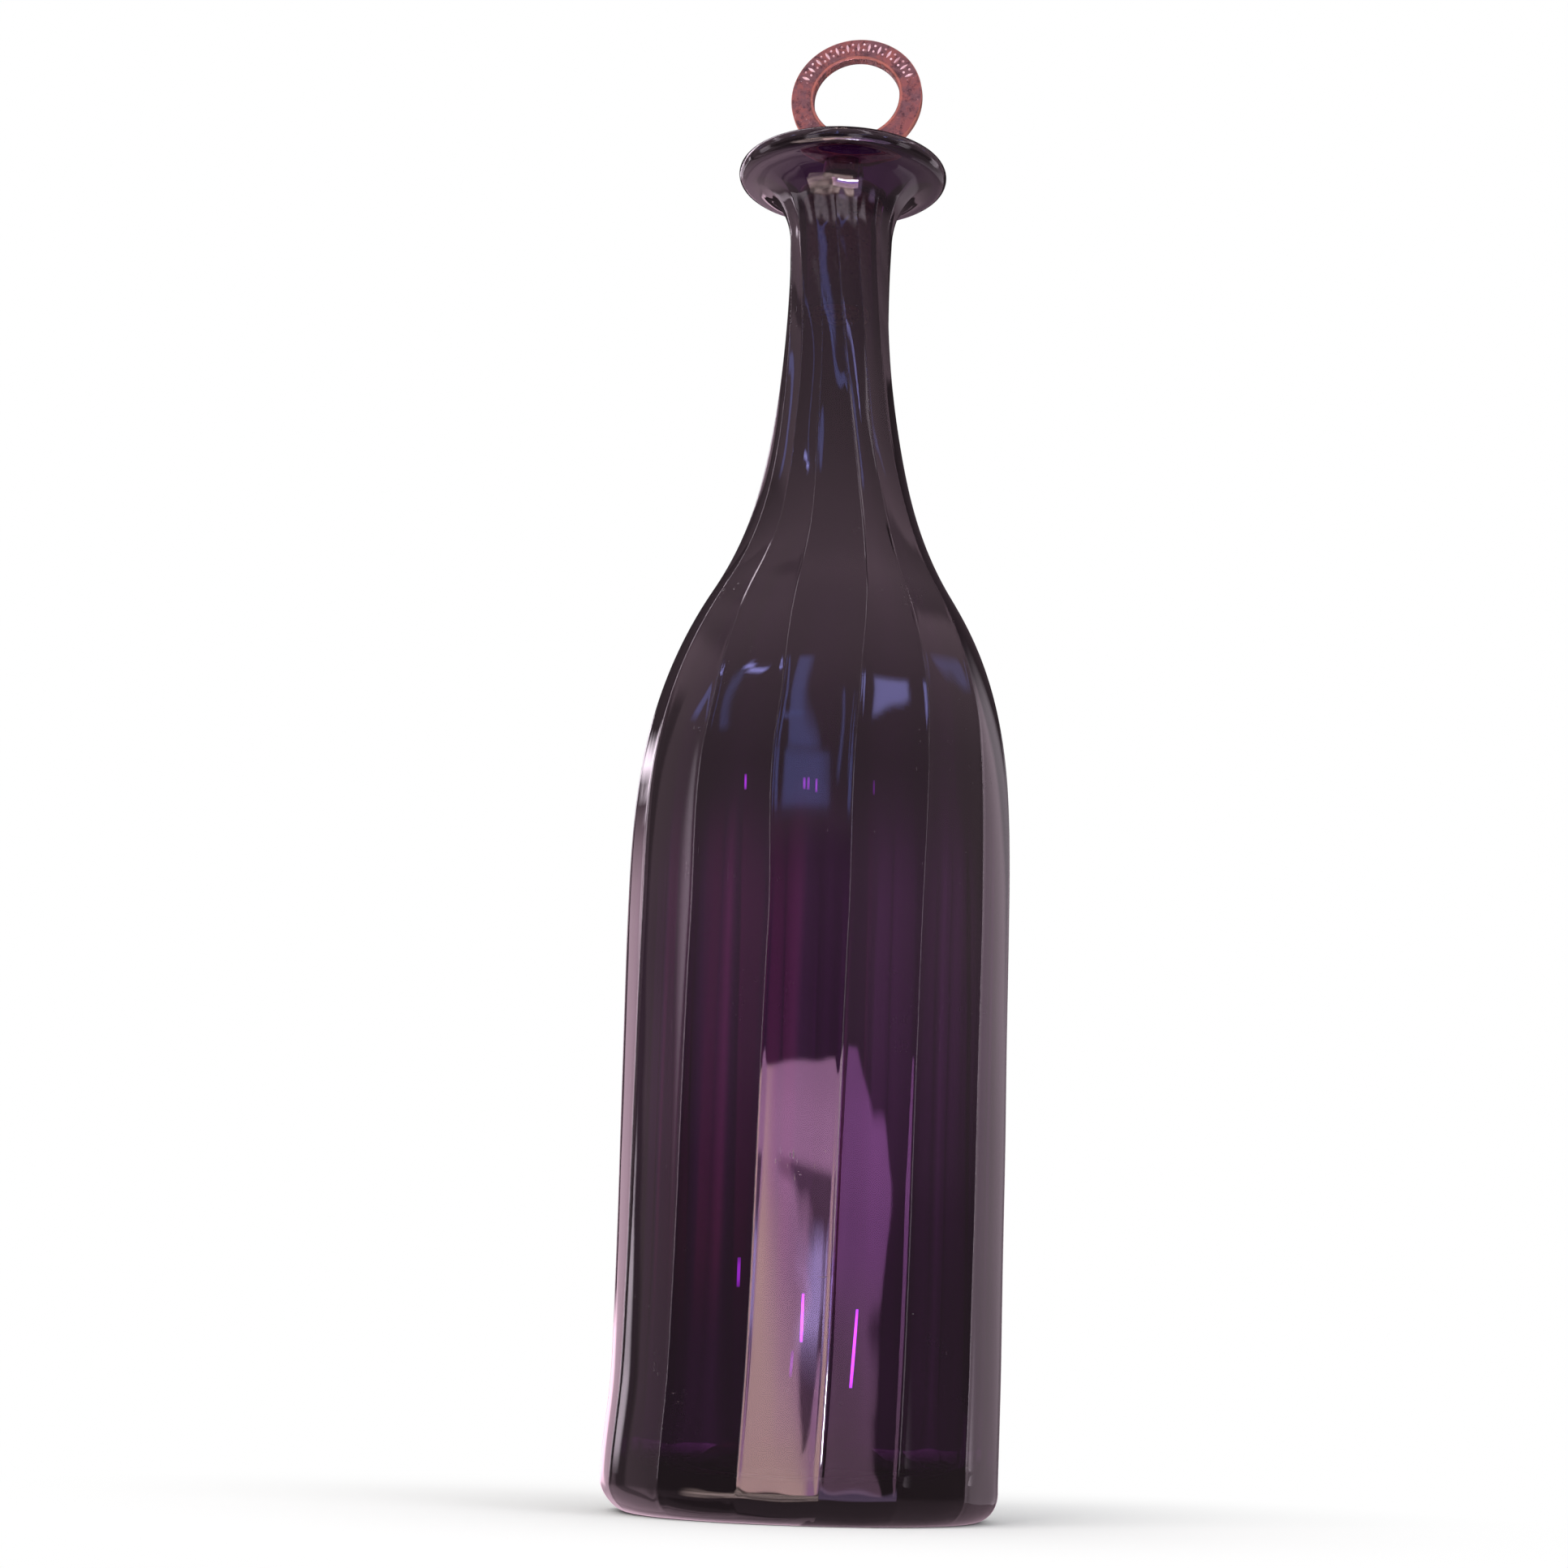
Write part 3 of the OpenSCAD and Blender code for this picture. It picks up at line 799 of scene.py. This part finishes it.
def glowing_grid(name, points, colours, see_through=False):
    """A stage card from a grid of points, which glows in the colour given at each point."""
    rows, columns = points.shape[:2]
    index = np.arange(rows * columns).reshape(rows, columns)
    corners = [index[:-1, :-1], index[:-1, 1:], index[1:, 1:], index[1:, :-1]]
    faces = np.stack(corners, axis=-1).reshape(-1, 4).tolist()
    card = make_mesh(name, points.reshape(-1, 3), faces, smooth=False)
    layer = card.data.color_attributes.new("glow", "FLOAT_COLOR", "POINT")
    values = np.ones((rows * columns, 4), np.float32)
    values[:, :3] = colours.reshape(-1, 3)
    layer.data.foreach_set("color", values.ravel())
    nodes = Nodes(name)
    glow = nodes.add("ShaderNodeEmission")
    shade = nodes.add("ShaderNodeVertexColor", layer_name="glow")
    nodes.join(shade.outputs["Color"], glow.inputs["Color"])
    result = glow.outputs[0]
    if see_through:
        both = nodes.add("ShaderNodeAddShader")
        nodes.join(result, both.inputs[0])
        nodes.join(nodes.add("ShaderNodeBsdfTransparent").outputs[0], both.inputs[1])
        result = both.outputs[0]
    nodes.join(result, nodes.output.inputs["Surface"])
    nodes.material.cycles.emission_sampling = "NONE"
    card.data.materials.append(nodes.material)
    card.visible_camera = False
    card.visible_diffuse = False
    card.visible_shadow = False
    card.visible_transmission = False
    return card


def shades(*terms):
    """Sum of pairs of an amount at each point and a colour."""
    return sum(np.asarray(amount)[..., None] * np.array(colour) for amount, colour in terms)


# How far the room's walls and the nearer cards stand from the bottle's axis
ROOM_R = 3
ROOM_MIDDLE_Z = 0.12
POSTS_R = 1
NEAR_R = 0.3

# Colours of the pale lights and of the warm things in front
PALE = (1, 0.86, 0.98)
WARM = (1.35, 1, 0.95)

# Blue windows of the room: elevation from and to, azimuth at bottom and top, half width, brightness
WINDOWS = (
    (24, 47, -7.8, -7.8, 1.35, 2.2),
    (15.5, 23.5, -7.9, -7.9, 2.1, 2.1),
    (18, 31, -37, -9, 2.2, 1.9),
    (12, 25, 8, 27, 2, 1.6),
    (31, 44, 54, 77, 1.8, 2.0),
    (26, 36, -106.5, -102.5, 1.3, 1.5),
    (31, 36, 102.5, 105, 1, 0.9),
    (27, 41, -61, -64.5, 0.6, 1.4),
)
WINDOW_BLUE = (0.26, 0.33, 1.0)

# Soft upright lights that the ridges of the neck and shoulder mirror: azimuths at each elevation
HIGH_LIGHT_ELEVATIONS = (24, 30, 37, 44, 49, 55, 72)
HIGH_LIGHTS = (
    (-84, -76, -83, -92, -104, -106, -106),
    (-38, -35, -36, -35, -32, -30, -31),
    (10, 24, 30, 27, 30, 31, 32),
    (55, 68, 72, 88, 103, 105, 105),
)

# The pale band on the left: elevation, its two azimuths, brightness
LEFT_BAND = (
    (-7, -151.5, -122, 0),
    (-3, -151.5, -122, 1.2),
    (0, -151.5, -122, 1.6),
    (1.5, -151.5, -133, 1.4),
    (10, -151.5, -133, 1.4),
    (12, -153, -134, 1.5),
    (15, -158.3, -134, 2.6),
    (18, -157, -134, 3),
    (20, -148, -133, 3),
    (24, -138, -131, 3.5),
    (29, -138, -128, 4),
    (33, -144, -128, 4),
    (41, -148, -129, 3.5),
    (45, -158, -138, 2.5),
    (60, -158, -138, 2),
)

# How light the room is with elevation: dim below eye level, lighter towards the ceiling
LEVELS = (
    (-90, 0.45),
    (-40, 0.45),
    (-16, 0.4),
    (-8, 0.26),
    (2, 0.27),
    (6, 0.42),
    (10, 0.54),
    (22, 0.53),
    (36, 0.7),
    (46, 0.86),
    (56, 0.95),
    (78, 0.95),
    (83, 0.3),
)

# Where the dark that edges the glass starts on the left: elevation, degrees to the left
DARK_EDGE = (
    (0, 163.2),
    (1, 162.8),
    (3, 162.2),
    (6, 160),
    (8, 158.4),
    (10, 157.4),
    (12, 157.2),
)


def room_level(azimuth, elevation):
    """How light the plain walls are in each direction."""
    low = 1 - smooth_step(3, 9, elevation)
    left_side = smooth_step(75, 85, -azimuth)
    right_side = smooth_step(112, 118, azimuth)
    level = np.interp(elevation, *zip(*LEVELS))
    level = level - 0.2 * soft_box(azimuth, -17, 0, 3) * soft_box(elevation, 5, 13, 2)
    level = level + left_side * (0.22 * low - 0.1 * smooth_step(40, 60, elevation))
    dim = 0.5 * soft_box(azimuth, -119.5, -114, 1) * (1 - smooth_step(26, 30, elevation))
    level = level * (1 - dim)
    level = level - 0.3 * smooth_step(88, 97, -azimuth) * smooth_step(34, 38, elevation)
    dim = 0.25 * soft_box(azimuth, -135, -123, 1) * smooth_step(40, 43, elevation)
    level = level * (1 - dim)
    level = level * (1 - right_side) + 0.4 * right_side
    dim = 0.75 * soft_box(np.abs(azimuth), 43, 55, 2) * smooth_step(54, 58, elevation)
    level = level * (1 - dim)
    level = level + 1.4 * smooth_step(152, 158, -azimuth) * soft_box(elevation, -6, 1, 2)
    lit = 0.5 * smooth_step(104, 110, -azimuth) * (1 - smooth_step(-12, -6, elevation))
    level = level * (1 + lit)
    dim = 0.45 * soft_box(azimuth, -103, -60, 3) * (1 - smooth_step(-36, -28, elevation))
    level = level * (1 - dim)
    # The sides pass into the dark that edges the glass
    high = smooth_step(9, 14, elevation)
    level = level + (0.75 - level) * soft_box(azimuth, -163, -152, 1) * (1 - high)
    past_edge = -azimuth - np.interp(elevation, *zip(*DARK_EDGE))
    dark = smooth_step(-0.2, 0.8, past_edge) * smooth_step(-1, 0, elevation)
    dark = np.maximum(dark, smooth_step(141, 144.5, azimuth) * smooth_step(2, 5, elevation))
    dark = np.maximum(dark, smooth_step(140, 144, -azimuth) * high * 0.9)
    dark = np.maximum(dark, smooth_step(128, 134, azimuth) * smooth_step(17, 26, elevation) * 0.3)
    return level * (1 - dark) + 0.06 * dark


def left_band(azimuth, elevation):
    """The pale band on the left, and a thin brighter line beside it."""
    heights, starts, ends, powers = zip(*LEFT_BAND)
    start = np.interp(elevation, heights, starts)
    end = np.interp(elevation, heights, ends)
    band = soft_box(azimuth, start, end, 1) * np.interp(elevation, heights, powers)
    return band + 3.3 * soft_box(azimuth, -121.5, -117.8, 0.6) * soft_box(elevation, -2, 14, 2)


def blue_windows(azimuth, elevation):
    blue = 0
    for bottom, top, at_bottom, at_top, half, strength in WINDOWS:
        share = np.clip((elevation - bottom) / (top - bottom), 0, 1)
        across = azimuth - (at_bottom + (at_top - at_bottom) * share)
        pane = strength * soft_box(across, -half, half, 0.5)
        blue = blue + pane * soft_box(elevation, bottom, top, 1)
    return blue


def high_lights(azimuth, elevation):
    """The soft upright lights. The two in front reach higher than the two at the sides."""
    power = 1.8 + 1.6 * smooth_step(44, 50, elevation)
    lights = 0
    for places in HIGH_LIGHTS:
        top = 70 if abs(places[-1]) < 90 else 50
        from_light = np.abs(azimuth - np.interp(elevation, HIGH_LIGHT_ELEVATIONS, places))
        light = power * (1 - smooth_step(2, 6, from_light)) * smooth_step(23, 26, elevation)
        lights = lights + light * (1 - smooth_step(top, top + 5, elevation))
    return lights


def pale_flag(azimuth, elevation):
    """A pale flag with slanted sides on the right, and a thin bright curl on the left."""
    from_left = azimuth - (48 - 0.48 * (37.5 - elevation))
    from_right = azimuth - (52 - 0.37 * (38 - elevation))
    from_foot = elevation - 29 - 0.77 * (azimuth - 44.2)
    flag = smooth_step(-0.4, 0.4, from_left) * (1 - smooth_step(-0.4, 0.4, from_right))
    flag = flag * smooth_step(-0.8, 0.8, from_foot) * (1 - smooth_step(37, 38.6, elevation))
    foot = 39.4 + 1.2 * smooth_step(-62, -64, azimuth) + 0.8 * smooth_step(-60, -58, azimuth)
    curl = 2 * soft_box(azimuth, -64.5, -59.5, 0.5) * soft_box(elevation, foot, foot + 1.2, 0.5)
    return flag + curl


def make_room():
    """The room that the glass and copper mirror, with its windows and pale sides."""
    azimuth, elevation = np.meshgrid(np.arange(-180, 180.1, 0.5), np.arange(-89, 89.1, 1.0))
    z = ROOM_R * sin_d(elevation) + ROOM_MIDDLE_Z
    points = card_points(azimuth, ROOM_R * cos_d(elevation), z)
    over = 4 * soft_box(azimuth, -60, 12, 8) * soft_box(elevation, 80, 86, 1)
    colours = shades(
        (room_level(azimuth, elevation), (1.14, 0.78, 0.96)),
        (left_band(azimuth, elevation), PALE),
        (high_lights(azimuth, elevation), PALE),
        (blue_windows(azimuth, elevation), WINDOW_BLUE),
        (4.2 * pale_flag(azimuth, elevation), (0.5, 0.5, 1.25)),
        (over, WARM),
    )
    glowing_grid("room", points, colours)


# The plane of the table card, and how far under the lip's flare it lies
TABLE_Z = -0.1
TABLE_DROP = 0.395


def make_table():
    """Things low in front, which only the flare of the lip and the round of the heel mirror."""
    azimuth, drop = np.meshgrid(np.arange(-66, 60, 0.5), np.arange(10, 58, 0.5))
    points = card_points(azimuth, TABLE_DROP / np.tan(np.radians(drop)), TABLE_Z)
    things = 4.2 * soft_box(azimuth, -61, 8.5, 1.5) * soft_box(drop, 19, 52, 2.5)
    uneven = np.clip(ripple(azimuth / 9, drop / 9, 0, 0.55, 5), -0.4, 1)
    things = things * (0.55 + 0.8 * uneven)
    beside = 0.8 * soft_box(azimuth, 9, 52, 2) * soft_box(drop, 13, 44, 3)
    glowing_grid("table", points, shades((things, WARM), (beside, (1.5, 1, 1.9))), see_through=True)


# Pale uprights that only the ridges of the body and the top of the neck mirror: azimuths
POSTS = (-92, -34, 12, 66, 115)


def make_posts():
    """Pale uprights further off, and a thin blue pane close to the bottle."""
    azimuth, height = np.meshgrid(np.arange(-110, 130, 0.5), np.arange(-30, 640, 10.0) * MM)
    points = card_points(azimuth, POSTS_R, height)
    posts = sum(1 - smooth_step(4, 10, np.abs(azimuth - place)) for place in POSTS)
    posts = posts * (1 - smooth_step(480 * MM, 600 * MM, height))
    glowing_grid("posts", points, shades((1.7 * posts, PALE)), see_through=True)
    azimuth, height = np.meshgrid(np.arange(-5, 2, 0.1), np.arange(200, 400, 10.0) * MM)
    points = card_points(azimuth, NEAR_R, height)
    middle = -1.5 - 1.7 * (1 - smooth_step(220 * MM, 330 * MM, height))
    pane = soft_box(azimuth - middle, -0.3, 0.3, 0.4)
    pane = pane * soft_box(height, 240 * MM, 370 * MM, 12 * MM)
    glowing_grid("pane", points, shades((2 * pane, WINDOW_BLUE)), see_through=True)


def make_side_wall():
    """A pale wall close on the right, which only the body and the lower shoulder mirror."""
    azimuth, height = np.meshgrid(np.arange(108, 156, 1.0), np.arange(-60, 400, 10.0) * MM)
    points = card_points(azimuth, NEAR_R, height)
    glow = soft_box(azimuth, 114, 145, 3) * (1 - smooth_step(265 * MM, 330 * MM, height))
    glow = glow * (0.3 + 0.2 * smooth_step(126, 136, azimuth))
    glowing_grid("side_wall", points, shades((glow, PALE)), see_through=True)


def make_board():
    """A warm board, low in front of the bottle, that two of its flutes mirror.

    Its heights are in millimetres.
    """
    azimuth, height = np.meshgrid(np.arange(-32, 46, 0.2), np.arange(-50, 150, 1.0))
    points = card_points(azimuth, NEAR_R, height * MM)
    top = np.interp(azimuth, (-14, -9, -6, 4, 26), (113, 115, 119, 121, 122))
    right = np.interp(height, (9, 21, 48, 86, 104, 122), (31.4, 31.6, 33.7, 34.9, 34.7, 33.7))
    shape = (1 - smooth_step(top - 2, top + 1, height)) * smooth_step(-17, -12, height)
    shape = shape * smooth_step(-27, -24, azimuth)
    shape = shape * (1 - smooth_step(right - 0.3, right + 0.1, azimuth))
    # A dark, pointed gap in it, with a cool gleam inside
    gap_left = np.interp(height, (15, 30, 40, 50, 75), (-11, -10.2, -9.6, -9.2, -8.8))
    gap_right = np.interp(height, (15, 30, 45, 60), (-10.9, -9, -6, -3))
    gap = soft_box(azimuth, gap_left, gap_right, 0.15) * soft_box(height, 15, 86, 1.5)
    gap = np.maximum(gap, 0.6 * soft_box(azimuth, -9.3, -6, 0.3) * soft_box(height, 82, 86, 1.5))
    from_gleam = np.abs(azimuth - np.interp(height, (33, 50, 70), (-9.3, -8.5, -7.9)))
    gleam = (1 - smooth_step(0.5, 1.2, from_gleam)) * soft_box(height, 36, 69, 7)
    front = 1 - smooth_step(-4, -1, azimuth)
    inward = smooth_step(-12.5, -9.2, azimuth)
    uneven = 1 + 0.12 * ripple(azimuth * 3, height / 6, 0, 3.0, 7)
    uneven = uneven + 0.12 * soft_box(height, 80, 105, 10)
    skin = shape * front * uneven * (1 - 0.8 * gap)
    upper = smooth_step(15, 70, height)
    shade = shape * (1 - front) * uneven
    # Ridge between the two flutes: beige above, a cool line and a white glint below
    beige = soft_box(azimuth, -3, 24, 2) * smooth_step(60, 72, height)
    cool = soft_box(azimuth, 1, 20, 2) * soft_box(height, 30, 62, 6)
    glint = 120 * soft_box(azimuth, 4, 18, 2) * soft_box(height, 10, 29, 2)
    colours = shades(
        (skin * (1 - inward), (8.0, 4.9, 4.9)),
        (skin * inward, (5.0, 2.4, 4.5)),
        (shade * upper, (2.4, 0.8, 2.7)),
        (shade * (1 - upper), (1.5, 0.8, 1.3)),
        (shape * beige, (2.6, 2.4, 1.6)),
        (shape * cool, (3, 2, 8)),
        (shape * glint, (0.97, 0.93, 1.1)),
        (shape * gleam, (5.2, 3.9, 8.6)),
    )
    glowing_grid("board", points, colours, see_through=True)


# How far the paper stands behind the bottle's axis
PAPER_Y = 0.15


def make_paper():
    """Paper behind the bottle, seen only through the glass, with painted shade, a painted shadow of
    the bottle and a painted warm glow.
    """
    across, height = np.meshgrid(np.linspace(-0.6, 0.6, 241), np.linspace(-0.2, 0.8, 201))
    points = np.stack([across, PAPER_Y + 0 * across, height], axis=-1)
    # Painted shade: the paper is darker low down and behind the neck, and darker down its middle as
    # a painted shadow of the bottle
    level = 0.2 + 0.38 * smooth_step(0.04, 0.12, height) - 0.55 * smooth_step(0.15, 0.195, height)
    middle = 1 - 0.5 * soft_box(across, -0.012, 0.02, 0.012) * (1 - smooth_step(0.15, 0.2, height))
    # A painted warm glow on the left, and a dark sheet of painted shade high up, seen through the
    # lip
    warm = soft_box(across, -0.05, -0.014, 0.01) * soft_box(height, 0.05, 0.17, 0.02)
    lip = smooth_step(0.32, 0.34, height)
    colours = shades(
        (level * middle * (1 - lip), (1, 1, 1)),
        (warm * 0.4, (1, 0.15, 0.2)),
        (lip, (0.13, 0.07, 0.14)),
    )
    paper = glowing_grid("paper", points, colours)
    paper.visible_glossy = False
    paper.visible_transmission = True


# Painted glints: the sparks are small glowing cards that stand in for a lamp's violet reflections
# off the inner glass
# Sparks of violet in the glass: across at the foot and top, height from and to, and depth, all in
# millimetres, then strength
PAINTED_GLINTS = (
    (-15.1, -15.2, 149.1, 152.4, -20, 0.25),
    (-4.5, -4.6, 149.6, 152.2, -20, 0.15),
    (-3.5, -3.5, 149.5, 152.3, -20, 0.12),
    (-1.2, -1.3, 149, 152, -20, 0.15),
    (9.3, 9.2, 148.8, 152, -20, 0.05),
    (-12.9, -12.9, 45.5, 51.3, -30, 0.25),
    (-2.5, -2.2, 28.2, 33.4, -30, 0.1),
    (-0.4, -0.3, 35.1, 44.6, -30, 1.0),
    (8.6, 9.5, 26.5, 41.9, -30, 1.0),
)
GLINT_HALF_W = 0.3
GLINT_VIOLET = (7, 1.1, 12)
# Strength along a painted glint, from its foot to its top
GLINT_FADE = np.array([0.4, 0.9, 1, 0.9, 0.4])


def make_painted_glints():
    """Painted glints: small glowing cards inside the bottle, seen only through its glass, that stand
    in for a lamp's reflections.
    """
    for number, (at_foot, at_top, low, high, depth, strength) in enumerate(PAINTED_GLINTS):
        share = np.linspace(0, 1, len(GLINT_FADE))
        middle = at_foot + (at_top - at_foot) * share
        height = low + (high - low) * share
        sides = (middle - GLINT_HALF_W, middle + GLINT_HALF_W)
        rows = [np.stack([side, depth + 0 * share, height], axis=-1) for side in sides]
        colours = np.tile(shades((strength * GLINT_FADE, GLINT_VIOLET)), (2, 1, 1))
        card = glowing_grid(f"painted_glint_{number}", np.array(rows) * MM, colours, see_through=True)
        card.visible_glossy = False
        card.visible_transmission = True


# Soft lamps: name, azimuth, distance, height, size, power, colour
LAMPS = (
    ("soft_key", -38, 1.5, 1.3, 1.2, 16, (1, 0.98, 0.96)),
    ("soft_fill", 55, 1.6, 0.9, 1.0, 8, (0.96, 0.97, 1)),
)
LAMP_AIM = Vector((0, 0, 0.2))


def make_lights():
    for name, azimuth, distance, z, size, power, colour in LAMPS:
        light = bpy.data.lights.new(name, "AREA")
        light.size = size
        light.energy = power
        light.color = colour
        lamp = bpy.data.objects.new(name, light)
        bpy.context.scene.collection.objects.link(lamp)
        lamp.location = compass(azimuth, distance, z)
        aim = LAMP_AIM - lamp.location
        lamp.rotation_euler = aim.to_track_quat("-Z", "Y").to_euler()
        lamp.visible_glossy = False
        lamp.visible_transmission = False
        lamp.visible_camera = False


def make_camera():
    data = bpy.data.cameras.new("camera")
    data.sensor_width = SENSOR
    data.lens = SENSOR * FOCAL_PX / IMAGE
    data.shift_x = (IMAGE / 2 - AXIS_PX) / IMAGE
    data.clip_start = 0.01
    camera = bpy.data.objects.new("camera", data)
    bpy.context.scene.collection.objects.link(camera)
    tilt = Matrix.Rotation(math.radians(90 + CAMERA_TILT), 4, "X")
    roll = Matrix.Rotation(math.radians(CAMERA_ROLL), 4, "Z")
    camera.matrix_world = Matrix.Translation((0, CAMERA_Y, CAMERA_Z)) @ tilt @ roll
    bpy.context.scene.camera = camera


# ---------------------------------------------------------------- scene


def paint(piece, material):
    piece.data.materials.clear()
    piece.data.materials.append(material)


bpy.context.scene.view_settings.view_transform = "Standard"
make_camera()
make_world()
make_floor()
make_room()
make_table()
make_posts()
make_board()
make_side_wall()
make_paper()
make_painted_glints()
make_lights()
paint(make_glass(), glass_material())
paint(make_ring(), copper_material("worn_copper", **RING_COPPER, rims_marked=True))
# The cap and socket take the copper darkened with painted shade
shaded_fittings = copper_material("shaded_fitting_copper", **SHADED_FITTING_COPPER, rims_marked=False)
for name in ("cap", "socket"):
    paint(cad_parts[name], shaded_fittings)
brass = brass_material()
for name in ("rod", "washer"):
    paint(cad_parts[name], brass)
paint(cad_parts["cork"], cork_material())
